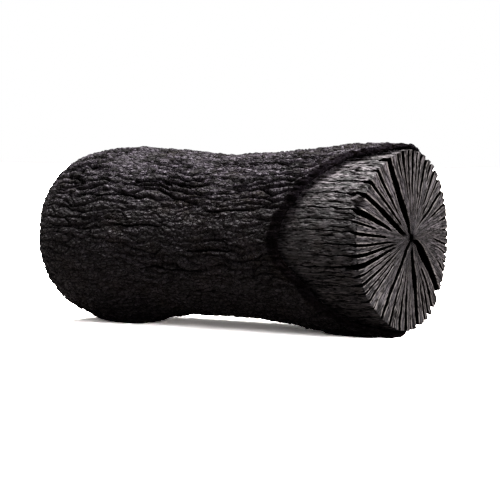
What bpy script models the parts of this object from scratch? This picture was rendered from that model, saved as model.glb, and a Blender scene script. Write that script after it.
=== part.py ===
"""A charred log lying on its side: a wood core split along its rays, inside a sleeve of ridged bark.

The log runs along X. Its near end, at +X, is a sawn face, and the bark there has broken back on
the -Y side, so that the wood stands out of it. The far end, at -X, is worn round.
The origin is on the surface that the log lies on, below the middle of its length. Units are metres.
Angles round the log run from +Y towards +Z, so 90 degrees is the top and 270 degrees the underside.
"""

import math
import random

import bpy
import numpy as np
from mathutils import Matrix

MM = 0.001
FULL_TURN = 2 * math.pi
SEED = 8

# The log's length, and its shape along X: height of the centre line and outer radius of the bark
NEAR_FACE_X = 0.0846
FAR_FACE_X = -0.0850
STATION_X = np.array([-86.0, -81.0, -74.0, -59.0, -32.0, -6.0, 22.0, 42.0, 60.0, 84.6]) * MM
STATION_HEIGHT = np.array([40.2, 39.9, 39.7, 39.6, 39.9, 39.2, 39.4, 40.4, 40.8, 41.0]) * MM
STATION_RADIUS = np.array([30.5, 34.2, 37.4, 40.0, 39.4, 38.2, 38.8, 39.9, 41.4, 41.8]) * MM

# Bark: a layer that lies close round the wood
BARK_THICKNESS = 3.4 * MM
BARK_SEAT_GAP = 0.55 * MM

# The bark's furrows, and the plates that the ridges between them are broken into
FURROW_COUNT = 46
FURROW_UNEVEN = (0.6, 1.4)
FURROW_DEPTH = 1.9 * MM
FURROW_SHALLOWEST = 0.3
FURROW_SHARE = 0.27
FURROW_WANDER = math.radians(5.0)
PLATE_STEP = 1.1 * MM
PLATE_LENGTH = (8.0 * MM, 24.0 * MM)
BARK_SWELL = 0.5 * MM

# The bark's near edge: a ragged lip that curls off the wood most where it has broken back furthest
LIP_CURL = 1.6 * MM
LIP_LIFT = 1.3 * MM
LIP_REACH = 12.0 * MM
LIP_RAGGED = 1.3 * MM
LIP_LEAST = 1.2 * MM
LIP_RAGGED_FROM = 8.0 * MM
FULL_EXPOSURE = 30.0 * MM
FAR_EDGE_OUT = 0.8 * MM
FAR_EDGE_RAGGED = 0.6 * MM

# How a bark edge is rounded: its length along the log, where its middle lies, and its corners
NEAR_EDGE_LENGTH = 1.6 * MM
FAR_EDGE_LENGTH = 2.0 * MM
EDGE_MIDDLE = 0.55
EDGE_CORNER = 0.2 * MM

# How far the bark has broken back from the near face, round the log: degrees, millimetres
EXPOSURE = (
    (0, 9.0), (30, 6.0), (60, 3.0), (90, 1.6), (105, 6.0), (120, 17.0), (150, 34.0), (178, 41.0),
    (195, 35.0), (212, 26.0), (232, 18.0), (250, 5.0), (265, 3.0), (282, 5.5), (300, 9.0), (330, 12.0),
)

# Two places on the underside where the ridges are pressed flat and carry the log
REST_X = (-0.059, 0.060)
REST_HALF_LENGTH = 19.0 * MM
REST_HALF_ANGLE = math.radians(20.0)
REST_ANGLE = math.radians(270.0)
REST_RELIEF = -0.3 * MM

# Seeded wave patterns: seed, most waves round the log, shortest wavelength along it, how many waves
SWELL_WAVES = (SEED + 5, 5, 60 * MM, 5)
WANDER_WAVES = (SEED + 7, 4, 70 * MM, 5)
DEPTH_WAVES = (SEED + 3, 19, 24 * MM, 8)
LIP_WAVES = (SEED + 1, 23, 1.0, 9)
FAR_EDGE_WAVES = (SEED + 6, 17, 1.0, 7)
WAVE_GAIN = 1.2

# Wood core: its pith, off the centre line and a little sunk, and the rims of its two faces
PITH_OFFSET = (2.4 * MM, 0.9 * MM)
PITH_DEPTH = 5.0 * MM
LEAST_RADIUS = 0.5 * MM
SHARP_RIM = 0.7 * MM
WORN_RIM = 8.0 * MM
WORN_RIM_ANGLE = math.radians(177.0)
WORN_RIM_SPREAD = math.radians(32.0)
FAR_RIM = 4.0 * MM

# Low on the near end the tips of the wedges have broken off by different amounts
BROKEN_RIM = 2.6 * MM
BROKEN_RIM_REACH = 11.0 * MM
BROKEN_RIM_FROM = 0.6
BROKEN_RIM_ANGLES = (math.radians(280.0), math.radians(338.0))

# The splits of the near face: direction from the pith in degrees, inner end as a share of the radius, width in mm
SPLITS = (
    (2, 0.78, 0.9), (10, 0.74, 1.0), (25, 0.42, 1.4), (32, 0.78, 0.8), (39, 0.14, 1.4), (50, 0.28, 1.2),
    (57, 0.72, 0.9), (66, 0.24, 1.2), (76, 0.30, 1.3), (83, 0.55, 0.7), (90, 0.18, 1.2), (98, 0.82, 0.8),
    (105, 0.20, 1.3), (112, 0.72, 0.9), (119, 0.10, 2.3), (130, 0.32, 1.4), (141, 0.12, 1.4), (149, 0.00, 2.2),
    (159, 0.34, 2.6), (166, 0.60, 0.9), (173, 0.38, 1.4), (181, 0.26, 1.2), (187, 0.22, 1.4), (194, 0.24, 2.4),
    (200, 0.26, 1.2), (206, 0.14, 1.3), (212, 0.22, 1.1), (218, 0.26, 1.0), (224, 0.60, 0.8), (234, 0.04, 1.7),
    (243, 0.28, 1.2), (249, 0.70, 0.8), (255, 0.28, 1.0), (264, 0.24, 1.2), (273, 0.55, 0.9), (283, 0.08, 3.6),
    (292, 0.50, 1.1), (300, 0.18, 2.8), (310, 0.32, 2.4), (317, 0.70, 1.1), (325, 0.00, 3.0), (334, 0.78, 1.2),
    (339, 0.84, 0.8), (344, 0.70, 0.9), (351, 0.48, 1.0), (357, 0.84, 0.7),
)

# How a split is shaped: depth from its width, how it opens out from its inner end, how far it runs down the side
SPLIT_DEPTH_BACK = (4.0 * MM, 2.8)
SPLIT_DEPTH_IN = (2.2 * MM, 2.0)
SPLIT_OPENS_OVER = 0.16
SPLIT_INNER_WIDTH = 0.45
SPLIT_RUN = (12.0 * MM, 26.0 * MM)
SPLIT_RUN_PER_WIDTH = 9.0
SPLIT_WANDER = math.radians(2.2)
SPLIT_WANDER_WAVES = (3, 5)
LEAST_SPLIT = 0.06
MOST_SPLIT = 0.38
WEDGE_STEP = 0.35 * MM

# The far face's splits follow the same rays, with their own lengths and widths
FAR_SPLIT_SHIFT = 0.02
FAR_SPLIT_INNER = (0.05, 0.2, 0.35, 0.5, 0.7)
FAR_SPLIT_WIDTH = (0.7 * MM, 2.0 * MM)
FAR_SPLIT_LONGEST = 1.3

# Rings of the core's mesh: shares of the face's radius, and distances back from each face
NEAR_FACE_RINGS = (0.08, 0.20, 0.36, 0.54, 0.72, 0.88, 1.00)
NEAR_SIDE_RINGS = (0.0025, 0.009, 0.019, 0.032, 0.050)
HIDDEN_RINGS_X = (0.026, 0.013, 0.000, -0.013, -0.026, -0.040, -0.055)
FAR_SIDE_RINGS = (0.016, 0.005)
FAR_FACE_RINGS = (1.00, 0.75, 0.45, 0.18)
HIDDEN_COLUMN_STEP = 4

# Rings of the bark's mesh, with a few more where the far end rounds in
OUTER_RINGS = 22
INNER_RINGS = 13
INNER_COLUMN_STEP = 2
LAST_EVEN_SHARE = 0.92
FAR_ROUND_SHARES = (0.95, 0.975, 1.0)


def through(xs, ys, at):
    """A smooth curve through the points xs, ys, read at the positions given."""
    slopes = np.gradient(ys, xs)
    at = np.clip(at, xs[0], xs[-1])
    i = np.clip(np.searchsorted(xs, at) - 1, 0, len(xs) - 2)
    step = xs[i + 1] - xs[i]
    t = (at - xs[i]) / step
    low = (1 + 2 * t) * (1 - t) ** 2 * ys[i] + t * (1 - t) ** 2 * step * slopes[i]
    high = t * t * (3 - 2 * t) * ys[i + 1] + t * t * (t - 1) * step * slopes[i + 1]
    return low + high


def round_the_log(knots, theta):
    """A smooth closed curve through (degrees, value) knots, read at angles in radians."""
    degrees = np.array([knot[0] for knot in knots], float)
    values = np.array([knot[1] for knot in knots], float)
    degrees = np.concatenate([degrees - 360, degrees, degrees + 360])
    return through(degrees, np.tile(values, 3), np.degrees(theta) % 360)


def ease(t):
    """A smooth step from 0 to 1 as t goes from 0 to 1."""
    t = np.clip(t, 0, 1)
    return t * t * (3 - 2 * t)


def angle_between(theta, other):
    """The angle between two directions, never more than half a turn."""
    return np.abs(np.angle(np.exp(1j * (theta - other))))


def waves(theta, x, pattern):
    """A smooth pattern between about -1 and 1 that closes round the log: a sum of seeded waves."""
    seed, most_turns, wavelength, count = pattern
    draw = random.Random(seed)
    total = np.zeros(np.broadcast(theta, x).shape)
    for _ in range(count):
        across = draw.randint(1, most_turns)
        along = draw.uniform(-1, 1) * FULL_TURN / wavelength
        total = total + np.sin(across * theta + along * x + draw.uniform(0, FULL_TURN))
    return total * WAVE_GAIN / math.sqrt(2 * count)


def outer_radius(x):
    """Radius of the log over the bark's ridges."""
    return through(STATION_X, STATION_RADIUS, x)


def core_radius(x):
    """Radius of the wood under the bark."""
    return outer_radius(x) - BARK_THICKNESS


def placed(x, radius, theta):
    """Points at a radius and an angle round the centre line."""
    height = through(STATION_X, STATION_HEIGHT, x)
    return np.stack([x + 0 * theta, radius * np.cos(theta), height + radius * np.sin(theta)], axis=-1)


def exposure(theta):
    """How far back from the near face the bark's lip lies."""
    back = round_the_log(EXPOSURE, theta) * MM
    ragged = LIP_RAGGED * waves(theta, 0.0, LIP_WAVES) * ease(back / LIP_RAGGED_FROM)
    return np.maximum(back + ragged, LIP_LEAST)


def skin(rings, closed):
    """The faces between rings of points that follow each other, from the rings' point counts.

    A ring may have fewer points than the one beside it, as long as its count divides the other's.
    """
    starts = np.cumsum([0] + rings)
    faces = []
    pairs = [(i, (i + 1) % len(rings)) for i in range(len(rings) if closed else len(rings) - 1)]
    for first, second in pairs:
        flip = rings[first] < rings[second]
        many, few = (second, first) if flip else (first, second)
        step = rings[many] // rings[few]
        for j in range(rings[few]):
            fine = [starts[many] + (j * step + i) % rings[many] for i in range(step + 1)]
            coarse = [starts[few] + j, starts[few] + (j + 1) % rings[few]]
            middle = step // 2
            if step == 1:
                strip = [(fine[0], coarse[0], coarse[1], fine[1])]
            else:
                strip = [(fine[i], coarse[0] if i < middle else coarse[1], fine[i + 1]) for i in range(step)]
                strip.append((fine[middle], coarse[0], coarse[1]))
            faces += [tuple(reversed(face)) if flip else face for face in strip]
    return [tuple(int(point) for point in face) for face in faces]


def mesh_object(name, points, faces, material):
    """A node from its points and faces."""
    mesh = bpy.data.meshes.new(name)
    mesh.from_pydata([tuple(point) for point in points], [], faces)
    mesh.materials.append(material)
    mesh.update()
    obj = bpy.data.objects.new(name, mesh)
    bpy.context.scene.collection.objects.link(obj)
    return obj


def charred(name, colour, roughness):
    """The finish of one layer of the charcoal."""
    material = bpy.data.materials.new(name)
    material.use_nodes = True
    shader = material.node_tree.nodes["Principled BSDF"]
    shader.inputs["Base Color"].default_value = (*colour, 1.0)
    shader.inputs["Roughness"].default_value = roughness
    shader.inputs["Metallic"].default_value = 0.0
    return material


class Splits:
    """The radial splits of the core, which share the same rays at both ends of the log."""

    def __init__(self):
        draw = random.Random(SEED)
        rim = float(core_radius(NEAR_FACE_X))
        near = sorted((self.rim_angle(math.radians(way), rim), inner, width * MM) for way, inner, width in SPLITS)
        self.angle = np.array([split[0] for split in near])
        self.inner = np.array([split[1] for split in near])
        self.width = np.array([split[2] for split in near])
        self.run = np.array([draw.uniform(*SPLIT_RUN) for _ in near]) + SPLIT_RUN_PER_WIDTH * self.width
        self.far_angle = self.angle + np.array([draw.uniform(-1, 1) * FAR_SPLIT_SHIFT for _ in near])
        self.far_inner = np.array([draw.choice(FAR_SPLIT_INNER) for _ in near])
        self.far_width = np.array([draw.uniform(*FAR_SPLIT_WIDTH) for _ in near]) * (FAR_SPLIT_LONGEST - self.far_inner)
        self.step = np.array([draw.uniform(0, WEDGE_STEP) for _ in near])
        low, high = BROKEN_RIM_ANGLES
        broken = (self.angle > low) & (self.angle < high)
        self.drop = np.array([draw.uniform(0.0, BROKEN_RIM) for _ in near]) * broken

    @staticmethod
    def rim_angle(way, rim):
        """The angle round the centre line where a ray from the pith meets the rim."""
        y, z = PITH_OFFSET
        along = y * math.cos(way) + z * math.sin(way)
        reach = -along + math.sqrt(along**2 + rim**2 - y**2 - z**2)
        return math.atan2(z + reach * math.sin(way), y + reach * math.cos(way)) % FULL_TURN

    @staticmethod
    def columns(angle, width, radius):
        """Angles of each split's first lip, bottom and second lip, and of the middle of the wedge after it."""
        after = np.diff(np.append(angle, angle[0] + FULL_TURN))
        before = np.roll(after, 1)
        half = width / radius / 2
        first_lip = angle - np.clip(half, LEAST_SPLIT * before, MOST_SPLIT * before)
        second_lip = angle + np.clip(half, LEAST_SPLIT * after, MOST_SPLIT * after)
        next_lip = np.append(first_lip[1:], first_lip[0] + FULL_TURN)
        return np.stack([first_lip, angle, second_lip, (second_lip + next_lip) / 2], axis=-1)

    @staticmethod
    def on_wedges(values):
        """One value for each wedge, laid out over the four columns of each split."""
        return np.stack([np.roll(values, 1), values, values, values], axis=-1)


def rim_path(reach, rounding):
    """How far a point lies inside the side and inside the face, for a distance along the surface from the rim."""
    phi = (np.clip(reach / rounding, -1, 1) + 1) * math.pi / 4
    inside_side = np.where(reach < -rounding, -reach, rounding * (1 - np.sin(phi)))
    inside_face = np.where(reach > rounding, reach, rounding * (1 - np.cos(phi)))
    return inside_side, inside_face


def near_rounding(theta):
    """Radius of the near rim, which is worn away where the bark has broken back furthest."""
    away = angle_between(theta, WORN_RIM_ANGLE) / WORN_RIM_SPREAD
    return SHARP_RIM + WORN_RIM * np.exp(-(away**2))


def core_ring(splits, near, reach):
    """One ring of the core: reach is the distance along the surface from that end's rim, negative on its face."""
    end_x, inward = (NEAR_FACE_X, -1) if near else (FAR_FACE_X, 1)
    angle = splits.angle if near else splits.far_angle
    inner = splits.inner if near else splits.far_inner
    width = splits.width if near else splits.far_width
    on_face = reach < 0
    rim = float(core_radius(end_x))
    share = min(1 + reach / rim, 1)

    run_out = ease(1 - max(reach, 0) / splits.run)
    opened = ease((share - inner) / SPLIT_OPENS_OVER) * run_out
    around, outward = SPLIT_WANDER_WAVES
    angle = angle + SPLIT_WANDER * np.sin(around * angle + outward * share) * (1 - share)
    shown_width = width * opened * (SPLIT_INNER_WIDTH + (1 - SPLIT_INNER_WIDTH) * share)
    theta = splits.columns(angle, shown_width, max(share * rim, LEAST_RADIUS))

    rounding = near_rounding(theta) if near else np.full(theta.shape, FAR_RIM)
    inside_side, inside_face = rim_path(reach, rounding)
    x = end_x + inward * (inside_face + splits.on_wedges(splits.step) * share * on_face)
    surface = core_radius(x) - inside_side
    if near:
        rim_only = ease(1 - max(reach, 0) / BROKEN_RIM_REACH) * ease((share - BROKEN_RIM_FROM) / (1 - BROKEN_RIM_FROM))
        surface = surface - splits.on_wedges(splits.drop) * rim_only

    is_bottom = np.array([0.0, 1.0, 0.0, 0.0])
    cut_back = (SPLIT_DEPTH_BACK[0] + SPLIT_DEPTH_BACK[1] * width) * opened * run_out
    cut_in = (SPLIT_DEPTH_IN[0] + SPLIT_DEPTH_IN[1] * width) * opened
    x = x + inward * is_bottom * cut_back[:, None]
    surface = surface * (1 - is_bottom * cut_in[:, None] / rim)
    to_pith = np.array([0.0, *PITH_OFFSET]) * (1 - share) * on_face
    return (placed(x, surface, theta) + to_pith).reshape(-1, 3)


def hidden_ring(splits, x):
    """One plain ring of the core, under the bark, with a quarter of the columns."""
    mix = (x - FAR_FACE_X) / (NEAR_FACE_X - FAR_FACE_X)
    angle = splits.far_angle * (1 - mix) + splits.angle * mix
    theta = splits.columns(angle, 0 * angle, float(core_radius(x))).reshape(-1)[::HIDDEN_COLUMN_STEP]
    return placed(np.full(theta.shape, x), core_radius(x), theta)


def pith(end_x, inward):
    """The middle point of an end face, sunk where the splits meet."""
    centre = placed(np.array([end_x + inward * PITH_DEPTH]), 0.0, np.array([0.0]))
    return centre + np.array([0.0, *PITH_OFFSET])


def wood_core(material):
    """The wood: a solid log with both end faces split along the rays, and the splits running on down its side."""
    splits = Splits()
    near_rim = float(core_radius(NEAR_FACE_X))
    far_rim = float(core_radius(FAR_FACE_X))
    rings = [core_ring(splits, True, (share - 1) * near_rim) for share in NEAR_FACE_RINGS]
    rings += [core_ring(splits, True, reach) for reach in NEAR_SIDE_RINGS]
    rings += [hidden_ring(splits, x) for x in HIDDEN_RINGS_X]
    rings += [core_ring(splits, False, reach) for reach in FAR_SIDE_RINGS]
    rings += [core_ring(splits, False, (share - 1) * far_rim) for share in FAR_FACE_RINGS]

    points = np.concatenate([pith(NEAR_FACE_X, -1), *rings, pith(FAR_FACE_X, 1)])
    faces = [tuple(point + 1 for point in face) for face in skin([len(ring) for ring in rings], closed=False)]
    columns = len(rings[0])
    far_pith = len(points) - 1
    last = far_pith - columns
    for j in range(columns):
        k = (j + 1) % columns
        faces.append((0, 1 + j, 1 + k))
        faces.append((last + j, far_pith, last + k))
    return mesh_object("wood_core", points, faces, material)


def furrow_columns():
    """Angles of the bark's columns, and which are furrows: each furrow has a shoulder of a ridge on both sides."""
    draw = random.Random(SEED + 2)
    spacing = np.array([draw.uniform(*FURROW_UNEVEN) for _ in range(FURROW_COUNT)])
    spacing *= FULL_TURN / spacing.sum()
    furrow = np.cumsum(spacing)
    side = FURROW_SHARE * spacing
    theta = np.stack([furrow, furrow + side, furrow + spacing - side], axis=-1)
    is_furrow = np.tile([1.0, 0.0, 0.0], FURROW_COUNT)
    return theta.reshape(-1), is_furrow


def plate_drop(x):
    """How far the plates that each ridge is broken into lie below the highest ones."""
    draw = random.Random(SEED + 4)
    drop = np.zeros(x.shape)
    count = math.ceil((NEAR_FACE_X - FAR_FACE_X) / PLATE_LENGTH[0]) + 2
    for ridge in range(FURROW_COUNT):
        ends = FAR_FACE_X - PLATE_LENGTH[0] + np.cumsum([draw.uniform(*PLATE_LENGTH) for _ in range(count)])
        heights = np.array([draw.uniform(0.0, PLATE_STEP) for _ in range(count + 1)])
        shoulders = slice(3 * ridge + 1, 3 * ridge + 3)
        drop[shoulders] = heights[np.searchsorted(ends, x[shoulders])]
    return drop


def pressed_flat(theta, x):
    """1 on the two places of the underside that the log rests on, 0 elsewhere."""
    below = ease(2 - 2 * angle_between(theta, REST_ANGLE) / REST_HALF_ANGLE)
    return below * sum(ease(2 - 2 * np.abs(x - rest) / REST_HALF_LENGTH) for rest in REST_X)


def bark_relief(theta, x, is_furrow):
    """How far the bark's surface lies below its highest ridges."""
    depth = np.clip((1 + waves(theta, x, DEPTH_WAVES)) / 2, FURROW_SHALLOWEST, 1.0)
    swell = BARK_SWELL * (1 - waves(theta, x, SWELL_WAVES)) / 2
    relief = is_furrow * FURROW_DEPTH * depth + plate_drop(x) + swell
    pressed = pressed_flat(theta, x)
    return relief * (1 - pressed) + REST_RELIEF * pressed


def ring_shares(count):
    """Places of the bark's rings from its lip, 0, to its far edge, 1."""
    return np.concatenate([np.linspace(0, LAST_EVEN_SHARE, count), FAR_ROUND_SHARES])


def bark_sleeve(material):
    """The bark: a sleeve round the core, furrowed outside, with a ragged lip that stands off the wood."""
    theta, is_furrow = furrow_columns()
    lip_x = NEAR_FACE_X - exposure(theta)
    far_x = FAR_FACE_X - FAR_EDGE_OUT + FAR_EDGE_RAGGED * waves(theta, 0.0, FAR_EDGE_WAVES)
    lifted = ease(exposure(theta) / FULL_EXPOSURE)
    start = lip_x - NEAR_EDGE_LENGTH
    stop = far_x + FAR_EDGE_LENGTH

    def bent(x):
        """The columns' angles at x, as the furrows wander."""
        return theta + FURROW_WANDER * waves(theta, x, WANDER_WAVES)

    def top(x):
        """Radius of the bark's outer face."""
        curl = LIP_CURL * lifted * ease(1 - (lip_x - x) / LIP_REACH)
        return outer_radius(x) + curl - bark_relief(theta, x, is_furrow)

    def seat(x):
        """Radius of the bark's inner face."""
        lift = LIP_LIFT * lifted * ease(1 - (lip_x - x) / LIP_REACH)
        return core_radius(x) + BARK_SEAT_GAP + lift

    def edge(x, inward):
        """The two rings that round an edge of the bark, from its outside to its inside."""
        bend = bent(x + inward * EDGE_CORNER)
        middle = EDGE_MIDDLE * top(x) + (1 - EDGE_MIDDLE) * seat(x)
        return [placed(x, middle, bend), placed(x + inward * EDGE_CORNER, seat(x) + EDGE_CORNER, bend)]

    rings = []
    for share in ring_shares(OUTER_RINGS):
        x = start + share * (stop - start)
        rings.append(placed(x, top(x), bent(x)))
    rings += edge(far_x, 1)
    for share in ring_shares(INNER_RINGS)[::-1]:
        x = start + share * (stop - start)
        rings.append(placed(x, seat(x), bent(x))[::INNER_COLUMN_STEP])
    rings += edge(lip_x, -1)[::-1]

    points = np.concatenate(rings)
    points[:, 2] = np.maximum(points[:, 2], 0.0)
    return mesh_object("bark_sleeve", points, skin([len(ring) for ring in rings], closed=True), material)


def centre_over_origin(objects):
    """Move the meshes along X and Y so that their common box has its middle over the origin."""
    corners = np.array([vertex.co for obj in objects for vertex in obj.data.vertices])
    middle = (corners.min(axis=0) + corners.max(axis=0)) / 2
    for obj in objects:
        obj.data.transform(Matrix.Translation((-middle[0], -middle[1], 0.0)))


def main():
    for obj in list(bpy.data.objects):
        bpy.data.objects.remove(obj, do_unlink=True)
    core = wood_core(charred("charred_wood", (0.045, 0.042, 0.043), 0.55))
    bark = bark_sleeve(charred("charred_bark", (0.022, 0.020, 0.021), 0.75))
    centre_over_origin([core, bark])


main()
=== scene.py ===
"""The looks of a charred log: crumbly bark that has broken back from a sawn end of split wood.

The log lies along X with its sawn near end at +X. Angles round it run from +Y towards +Z, so 90 degrees
is the top and 270 degrees the underside. Units are metres. The overall form repeats the named sizes of
the solids in the frame, and the relief that is too fine for them is laid over it here.
"""

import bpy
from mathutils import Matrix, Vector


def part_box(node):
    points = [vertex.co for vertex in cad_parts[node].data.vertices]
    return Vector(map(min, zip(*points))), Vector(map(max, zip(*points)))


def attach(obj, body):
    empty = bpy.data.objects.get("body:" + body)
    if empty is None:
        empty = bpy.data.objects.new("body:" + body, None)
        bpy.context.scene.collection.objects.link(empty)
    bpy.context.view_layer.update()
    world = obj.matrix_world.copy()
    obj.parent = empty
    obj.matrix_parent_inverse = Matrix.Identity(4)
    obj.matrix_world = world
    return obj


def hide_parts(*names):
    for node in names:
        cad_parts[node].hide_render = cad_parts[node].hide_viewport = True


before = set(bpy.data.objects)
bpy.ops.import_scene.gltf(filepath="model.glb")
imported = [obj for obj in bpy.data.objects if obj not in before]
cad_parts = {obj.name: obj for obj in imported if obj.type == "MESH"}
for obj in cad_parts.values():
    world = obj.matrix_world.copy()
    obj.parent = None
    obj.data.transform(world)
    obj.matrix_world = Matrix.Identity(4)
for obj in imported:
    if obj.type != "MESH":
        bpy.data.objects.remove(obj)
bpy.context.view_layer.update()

import logging
import math
import random
from collections.abc import Callable
from dataclasses import dataclass, field
from enum import Enum
from functools import partial
from typing import Any

import bpy
import numpy as np
from mathutils import Vector

MM = 0.001
FULL_TURN = 2 * math.pi
UNDERSIDE = math.radians(270)
SEED = 8

Array = np.ndarray
Colour = tuple[float, float, float, float]

log = logging.getLogger("charcoal")


class Part(Enum):
    """The two nodes of the frame, which the pieces of this scene stand for."""

    BARK = "bark_sleeve"
    WOOD = "wood_core"


class Slot(Enum):
    """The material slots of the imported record."""

    BARK = "charred_bark"
    WOOD = "charred_wood"


# Curves and noise


def ease(t: Array | float) -> Array:
    """A smooth step from 0 to 1 as t goes from 0 to 1."""
    t = np.clip(t, 0, 1)
    return t * t * (3 - 2 * t)


def through(xs: Array, ys: Array, at: Array) -> Array:
    """A smooth curve through points.

    Args:
        xs: where the points lie, in rising order.
        ys: their values.
        at: where the curve is read.

    Returns:
        The curve's values there.
    """
    slopes = np.gradient(ys, xs)
    at = np.clip(at, xs[0], xs[-1])
    i = np.clip(np.searchsorted(xs, at) - 1, 0, len(xs) - 2)
    step = xs[i + 1] - xs[i]
    t = (at - xs[i]) / step
    low = (1 + 2 * t) * (1 - t) ** 2 * ys[i] + t * (1 - t) ** 2 * step * slopes[i]
    high = t * t * (3 - 2 * t) * ys[i + 1] + t * t * (t - 1) * step * slopes[i + 1]
    return low + high


def round_the_log(knots: tuple[tuple[float, float], ...], theta: Array) -> Array:
    """A smooth closed curve round the log.

    Args:
        knots: pairs of degrees and value.
        theta: angles in radians.

    Returns:
        The curve's values at those angles.
    """
    degrees = np.array([knot[0] for knot in knots], float)
    values = np.array([knot[1] for knot in knots], float)
    degrees = np.concatenate([degrees - 360, degrees, degrees + 360])
    return through(degrees, np.tile(values, 3), np.degrees(theta) % 360)


def turned_from(theta: Array, other: Array | float) -> Array:
    """The signed angle from one direction to another, never more than half a turn."""
    return np.angle(np.exp(1j * (theta - other)))


def around(theta: Array, middle: float, spread: float, power: int = 2) -> Array:
    """1 in one direction round the log, falling to 0 beyond the spread. A higher power is flatter on top."""
    return np.exp(-((turned_from(theta, middle) / spread) ** power))


# Painted light from above: surfaces are paler on top and darker from the flanks down, as light from above
# leaves them
LEAST_PAINTED_TOP_LIGHT = 0.22
PAINTED_TOP_LIGHT_FROM = 0.25
PAINTED_TOP_LIGHT_OVER = 0.65


def painted_top_light_at(theta: Array) -> Array:
    """How much painted light from above lies round the log: most on top and least from the flanks down."""
    return LEAST_PAINTED_TOP_LIGHT + (1 - LEAST_PAINTED_TOP_LIGHT) * ease((np.sin(theta) - PAINTED_TOP_LIGHT_FROM) / PAINTED_TOP_LIGHT_OVER)


@dataclass(frozen=True)
class Waves:
    """A sum of seeded waves that closes round the log, as the frame's solids have it."""

    seed: int
    most_turns: int
    wavelength: float
    count: int
    gain: float = 1.2

    def read(self, theta: Array, x: Array | float) -> Array:
        """The pattern, between about -1 and 1.

        Args:
            theta: angles round the log.
            x: places along it.

        Returns:
            The pattern's values there.
        """
        draw = random.Random(self.seed)
        total = np.zeros(np.broadcast(theta, x).shape)
        for _ in range(self.count):
            across = draw.randint(1, self.most_turns)
            along = draw.uniform(-1, 1) * FULL_TURN / self.wavelength
            total = total + np.sin(across * theta + along * x + draw.uniform(0, FULL_TURN))
        return total * self.gain / math.sqrt(2 * self.count)


# The radius and the girth that sizes round the log are measured on
RADIUS = 40 * MM
GIRTH = FULL_TURN * RADIUS

# Random patterns repeat along the log after this many cells, and gradient noise is lifted by its gain
LATTICE_ROWS = 512
LATTICE_GAIN = 1.55


@dataclass(frozen=True)
class Clouds:
    """Smooth random lumps that close round the log, between about -1 and 1."""

    across: float
    along: float
    seed: int

    def read(self, theta: Array, x: Array) -> Array:
        """The lumps' height.

        Args:
            theta: angles round the log.
            x: places along it.

        Returns:
            Gradient noise on a lattice of cells of this pattern's size.
        """
        cells = max(3, round(GIRTH / self.across))
        slope = np.random.default_rng(self.seed).uniform(0, FULL_TURN, (LATTICE_ROWS, cells))
        u, v = np.broadcast_arrays((theta / FULL_TURN % 1) * cells, (x / self.along) % LATTICE_ROWS)
        column, row = np.floor(u).astype(int), np.floor(v).astype(int)
        u, v = u - column, v - row

        def corner(right: int, up: int) -> Array:
            """The pull of one corner of the lattice cell."""
            angle = slope[(row + up) % LATTICE_ROWS, (column + right) % cells]
            return np.cos(angle) * (u - right) + np.sin(angle) * (v - up)

        blend_u = u**3 * (u * (6 * u - 15) + 10)
        blend_v = v**3 * (v * (6 * v - 15) + 10)
        low = corner(0, 0) * (1 - blend_u) + corner(1, 0) * blend_u
        high = corner(0, 1) * (1 - blend_u) + corner(1, 1) * blend_u
        return LATTICE_GAIN * (low * (1 - blend_v) + high * blend_v)


@dataclass(frozen=True)
class CellReading:
    """What a pattern of cells says at each point."""

    border: Array
    sideways: Array
    chance: Array
    ahead: Array


@dataclass(frozen=True)
class Cells:
    """Jittered cells that close round the log, like the plates of bark or the crumbs on them."""

    across: float
    along: float
    seed: int
    jitter: float = 0.85

    def read(self, theta: Array, x: Array) -> CellReading:
        """The cell that each point lies in.

        Args:
            theta: angles round the log.
            x: places along it.

        Returns:
            The distance in metres to the nearest border, how far that border runs along the log from 0 to 1,
            the cell's own random number, and how far ahead of its middle the point lies in cell lengths.
        """
        cells = round(GIRTH / self.across)
        across = GIRTH / cells
        draw = np.random.default_rng(self.seed)
        shift_u, shift_v = draw.uniform(-0.5, 0.5, (2, LATTICE_ROWS, cells)) * self.jitter
        chance = draw.uniform(0, 1, (LATTICE_ROWS, cells))
        u, v = np.broadcast_arrays((theta / FULL_TURN % 1) * cells, (x / self.along) % LATTICE_ROWS)
        column, row = np.floor(u).astype(int), np.floor(v).astype(int)

        middles = []
        for up in (-1, 0, 1):
            for right in (-1, 0, 1):
                i, j = (row + up) % LATTICE_ROWS, (column + right) % cells
                middle = column + right + 0.5 + shift_u[i, j], row + up + 0.5 + shift_v[i, j]
                middles.append((*middle, chance[i, j]))
        middle_u, middle_v, chances = (np.stack(values) for values in zip(*middles))
        away = (u - middle_u) ** 2 + (v - middle_v) ** 2
        own = away.argmin(axis=0)[None]
        own_u, own_v, own_away, own_chance = (
            np.take_along_axis(values, own, axis=0) for values in (middle_u, middle_v, away, chances)
        )
        slope_u, slope_v = (middle_u - own_u) / across, (middle_v - own_v) / self.along
        slope = np.hypot(slope_u, slope_v)
        apart = np.where(slope > 0, (away - own_away) / 2 / np.maximum(slope, 1e-9), np.inf)
        nearest = apart.argmin(axis=0)[None]
        sideways = np.take_along_axis(np.abs(slope_u) / np.maximum(slope, 1e-9), nearest, axis=0)[0]
        border = np.take_along_axis(apart, nearest, axis=0)[0]
        return CellReading(border, sideways, own_chance[0], v - own_v[0])


def lumps_below(
    patterns: tuple[Waves | Clouds, ...], heights: tuple[float, ...], theta: Array, x: Array
) -> Array:
    """How far layers of lumps lie below their own tops.

    Args:
        patterns: the layers.
        heights: how high the lumps of each are.
        theta: angles round the log.
        x: places along it.

    Returns:
        The depths of all layers together.
    """
    return sum(height * (1 - pattern.read(theta, x)) / 2 for pattern, height in zip(patterns, heights))


# Meshes

# Faces that meet at more than this are shaded with a sharp edge
SHARP_ANGLE = math.radians(62)


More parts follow.
